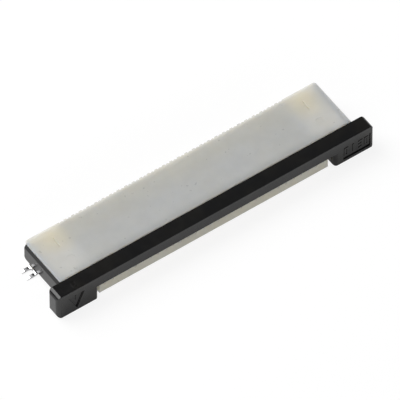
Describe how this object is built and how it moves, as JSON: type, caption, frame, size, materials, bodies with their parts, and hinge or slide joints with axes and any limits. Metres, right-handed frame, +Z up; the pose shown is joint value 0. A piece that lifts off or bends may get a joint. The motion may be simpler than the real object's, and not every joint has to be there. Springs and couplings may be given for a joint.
{
  "type": "fpc connector",
  "caption": "Right-angle surface-mount connector for flat flexible cable, with a black slide lock in an ivory housing and a fork-shaped fitting nail at each end.",
  "frame": {"origin": "on the circuit board's surface, in the middle of the connector's footprint (slider front to solder tail tips)", "axes": "+X along the contact row, -Y the side where the cable enters, +Z up from the board"},
  "size_m": [0.042, 0.0098, 0.0036],
  "materials": {
    "ivory_resin": "natural glass-filled moulding resin, satin",
    "black_resin": "black glass-filled moulding resin, glossy",
    "tin_plate": "bright tin plating on phosphor bronze"
  },
  "bodies": {
    "connector_body": {"housing": "ivory_resin", "fitting_nail_left": "tin_plate", "fitting_nail_right": "tin_plate", "contact_01": "tin_plate", "contact_02": "tin_plate", "contact_03": "tin_plate", "contact_04": "tin_plate", "contact_05": "tin_plate", "contact_06": "tin_plate", "contact_07": "tin_plate", "contact_08": "tin_plate", "contact_09": "tin_plate", "contact_10": "tin_plate", "contact_11": "tin_plate", "contact_12": "tin_plate", "contact_13": "tin_plate", "contact_14": "tin_plate", "contact_15": "tin_plate", "contact_16": "tin_plate", "contact_17": "tin_plate", "contact_18": "tin_plate", "contact_19": "tin_plate", "contact_20": "tin_plate", "contact_21": "tin_plate", "contact_22": "tin_plate", "contact_23": "tin_plate", "contact_24": "tin_plate", "contact_25": "tin_plate", "contact_26": "tin_plate", "contact_27": "tin_plate", "contact_28": "tin_plate", "contact_29": "tin_plate", "contact_30": "tin_plate"},
    "slide_lock": {"slider": "black_resin"}
  },
  "joints": [
    {"name": "slide_lock_pull", "type": "slide", "parent": "connector_body", "child": "slide_lock", "axis": [0, -1, 0], "range_m": [0, 0.0016]}
  ]
}
